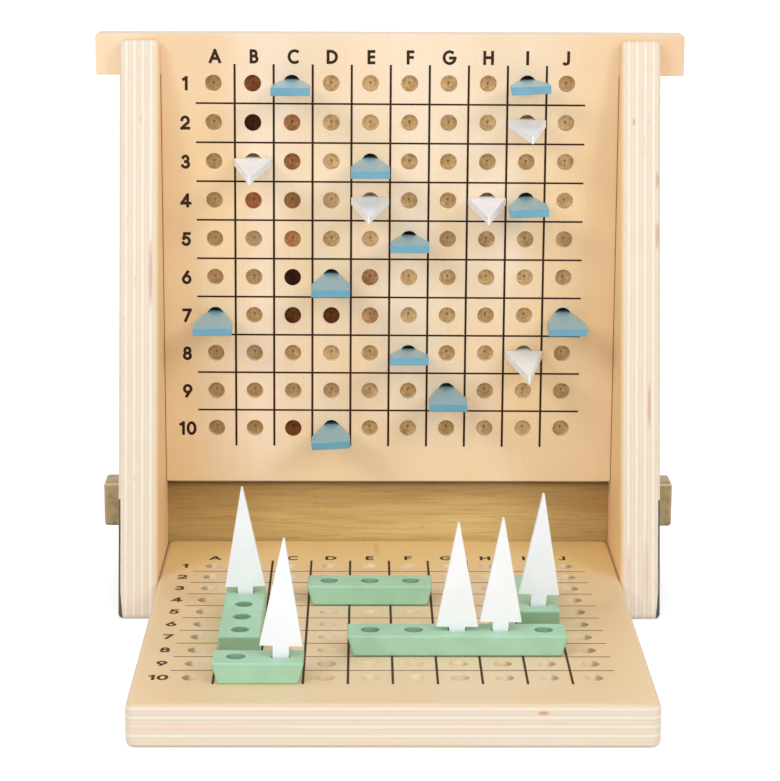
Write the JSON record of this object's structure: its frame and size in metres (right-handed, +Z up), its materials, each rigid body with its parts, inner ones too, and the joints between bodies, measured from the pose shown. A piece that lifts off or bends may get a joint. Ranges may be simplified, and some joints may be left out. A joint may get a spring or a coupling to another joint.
{
  "type": "fleet guessing station",
  "caption": "Wooden fleet guessing station: an upright target board hangs by its ears between side panels over a flat ocean board, with ships, sails and miss markers.",
  "frame": {"origin": "on the table, under the middle of the whole object's box", "axes": "+Z up, +X to the player's right, +Y away from the player, towards the back of the station"},
  "size_m": [0.226, 0.2286, 0.2164],
  "materials": {
    "panel_plywood": "clear matt varnish over birch plywood",
    "board_plywood": "clear matt varnish over birch plywood",
    "rail_hardwood": "oiled olive-brown hardwood",
    "green_paint": "matt mint-green stain on hardwood",
    "dowel_beech": "plain beech dowel",
    "white_paint": "matt white paint on thin sheet",
    "blue_paint": "matt sea-blue paint on thin sheet"
  },
  "bodies": {
    "frame": {"left_side_panel": "panel_plywood", "right_side_panel": "panel_plywood", "cross_rail": "rail_hardwood"},
    "target_board": {"target_board": "board_plywood"},
    "ocean_board": {"ocean_board": "board_plywood"},
    "ship_five": {"ship_five": "green_paint", "ship_five_pins": "dowel_beech"},
    "sail_g8": {"sail_g8": "white_paint"},
    "sail_h8": {"sail_h8": "white_paint"},
    "ship_four": {"ship_four": "green_paint", "ship_four_pins": "dowel_beech"},
    "sail_b5": {"sail_b5": "white_paint"},
    "ship_three_row": {"ship_three_row": "green_paint", "ship_three_row_pins": "dowel_beech"},
    "ship_three_column": {"ship_three_column": "green_paint", "ship_three_column_pins": "dowel_beech"},
    "sail_i6": {"sail_i6": "white_paint"},
    "ship_two": {"ship_two": "green_paint", "ship_two_pins": "dowel_beech"},
    "sail_c10": {"sail_c10": "white_paint"},
    "hit_sail_i2": {"hit_sail_i2": "white_paint"},
    "hit_sail_b3": {"hit_sail_b3": "white_paint"},
    "hit_sail_e4": {"hit_sail_e4": "white_paint"},
    "hit_sail_h4": {"hit_sail_h4": "white_paint"},
    "hit_sail_i8": {"hit_sail_i8": "white_paint"},
    "miss_marker_c1": {"miss_marker_c1": "blue_paint"},
    "miss_marker_i1": {"miss_marker_i1": "blue_paint"},
    "miss_marker_e3": {"miss_marker_e3": "blue_paint"},
    "miss_marker_i4": {"miss_marker_i4": "blue_paint"},
    "miss_marker_f5": {"miss_marker_f5": "blue_paint"},
    "miss_marker_d6": {"miss_marker_d6": "blue_paint"},
    "miss_marker_a7": {"miss_marker_a7": "blue_paint"},
    "miss_marker_j7": {"miss_marker_j7": "blue_paint"},
    "miss_marker_f8": {"miss_marker_f8": "blue_paint"},
    "miss_marker_g9": {"miss_marker_g9": "blue_paint"},
    "miss_marker_d10": {"miss_marker_d10": "blue_paint"}
  },
  "joints": [
    {"name": "target_board_lift", "type": "slide", "parent": "frame", "child": "target_board", "axis": [0, 0, 1], "range_m": [0, 0.03]},
    {"name": "ocean_board_slide", "type": "slide", "parent": "frame", "child": "ocean_board", "axis": [0, -1, 0], "range_m": [0, 0.12]},
    {"name": "ship_five_lift", "type": "slide", "parent": "ocean_board", "child": "ship_five", "axis": [0, 0, 1], "range_m": [0, 0.01]},
    {"name": "sail_g8_lift", "type": "slide", "parent": "ship_five", "child": "sail_g8", "axis": [0.007, 0, 1], "range_m": [0, 0.01]},
    {"name": "sail_h8_lift", "type": "slide", "parent": "ship_five", "child": "sail_h8", "axis": [0.014, 0, 0.9999], "range_m": [0, 0.01]},
    {"name": "ship_four_lift", "type": "slide", "parent": "ocean_board", "child": "ship_four", "axis": [0, 0, 1], "range_m": [0, 0.01]},
    {"name": "sail_b5_lift", "type": "slide", "parent": "ship_four", "child": "sail_b5", "axis": [-0.0262, 0, 0.9997], "range_m": [0, 0.01]},
    {"name": "ship_three_row_lift", "type": "slide", "parent": "ocean_board", "child": "ship_three_row", "axis": [0, 0, 1], "range_m": [0, 0.01]},
    {"name": "ship_three_column_lift", "type": "slide", "parent": "ocean_board", "child": "ship_three_column", "axis": [0, 0, 1], "range_m": [0, 0.01]},
    {"name": "sail_i6_lift", "type": "slide", "parent": "ship_three_column", "child": "sail_i6", "axis": [0.0314, 0, 0.9995], "range_m": [0, 0.01]},
    {"name": "ship_two_lift", "type": "slide", "parent": "ocean_board", "child": "ship_two", "axis": [0, 0, 1], "range_m": [0, 0.01]},
    {"name": "sail_c10_lift", "type": "slide", "parent": "ship_two", "child": "sail_c10", "axis": [0.0297, 0, 0.9996], "range_m": [0, 0.01]},
    {"name": "hit_sail_i2_pull", "type": "slide", "parent": "target_board", "child": "hit_sail_i2", "axis": [0, -0.9986, -0.0523], "range_m": [0, 0.012]},
    {"name": "hit_sail_b3_pull", "type": "slide", "parent": "target_board", "child": "hit_sail_b3", "axis": [0, -0.998, -0.0628], "range_m": [0, 0.012]},
    {"name": "hit_sail_e4_pull", "type": "slide", "parent": "target_board", "child": "hit_sail_e4", "axis": [-0.0174, -0.9985, -0.0523], "range_m": [0, 0.012]},
    {"name": "hit_sail_h4_pull", "type": "slide", "parent": "target_board", "child": "hit_sail_h4", "axis": [-0.0227, -0.9982, -0.0558], "range_m": [0, 0.012]},
    {"name": "hit_sail_i8_pull", "type": "slide", "parent": "target_board", "child": "hit_sail_i8", "axis": [0, -0.9976, -0.0698], "range_m": [0, 0.012]},
    {"name": "miss_marker_c1_pull", "type": "slide", "parent": "target_board", "child": "miss_marker_c1", "axis": [0, -0.9997, -0.0262], "range_m": [0, 0.012]},
    {"name": "miss_marker_i1_pull", "type": "slide", "parent": "target_board", "child": "miss_marker_i1", "axis": [0, -1, 0], "range_m": [0, 0.012]},
    {"name": "miss_marker_e3_pull", "type": "slide", "parent": "target_board", "child": "miss_marker_e3", "axis": [0, -0.9981, -0.061], "range_m": [0, 0.012]},
    {"name": "miss_marker_i4_pull", "type": "slide", "parent": "target_board", "child": "miss_marker_i4", "axis": [0, -0.999, -0.0436], "range_m": [0, 0.012]},
    {"name": "miss_marker_f5_pull", "type": "slide", "parent": "target_board", "child": "miss_marker_f5", "axis": [0, -1, 0.007], "range_m": [0, 0.012]},
    {"name": "miss_marker_d6_pull", "type": "slide", "parent": "target_board", "child": "miss_marker_d6", "axis": [0, -0.9976, -0.0698], "range_m": [0, 0.012]},
    {"name": "miss_marker_a7_pull", "type": "slide", "parent": "target_board", "child": "miss_marker_a7", "axis": [0, -0.9978, -0.0663], "range_m": [0, 0.012]},
    {"name": "miss_marker_j7_pull", "type": "slide", "parent": "target_board", "child": "miss_marker_j7", "axis": [0.0105, -0.998, -0.0628], "range_m": [0, 0.012]},
    {"name": "miss_marker_f8_pull", "type": "slide", "parent": "target_board", "child": "miss_marker_f8", "axis": [0, -0.9976, 0.0698], "range_m": [0, 0.012]},
    {"name": "miss_marker_g9_pull", "type": "slide", "parent": "target_board", "child": "miss_marker_g9", "axis": [0, -0.999, -0.0436], "range_m": [0, 0.012]},
    {"name": "miss_marker_d10_pull", "type": "slide", "parent": "target_board", "child": "miss_marker_d10", "axis": [0, -0.9994, -0.0349], "range_m": [0, 0.012]}
  ]
}
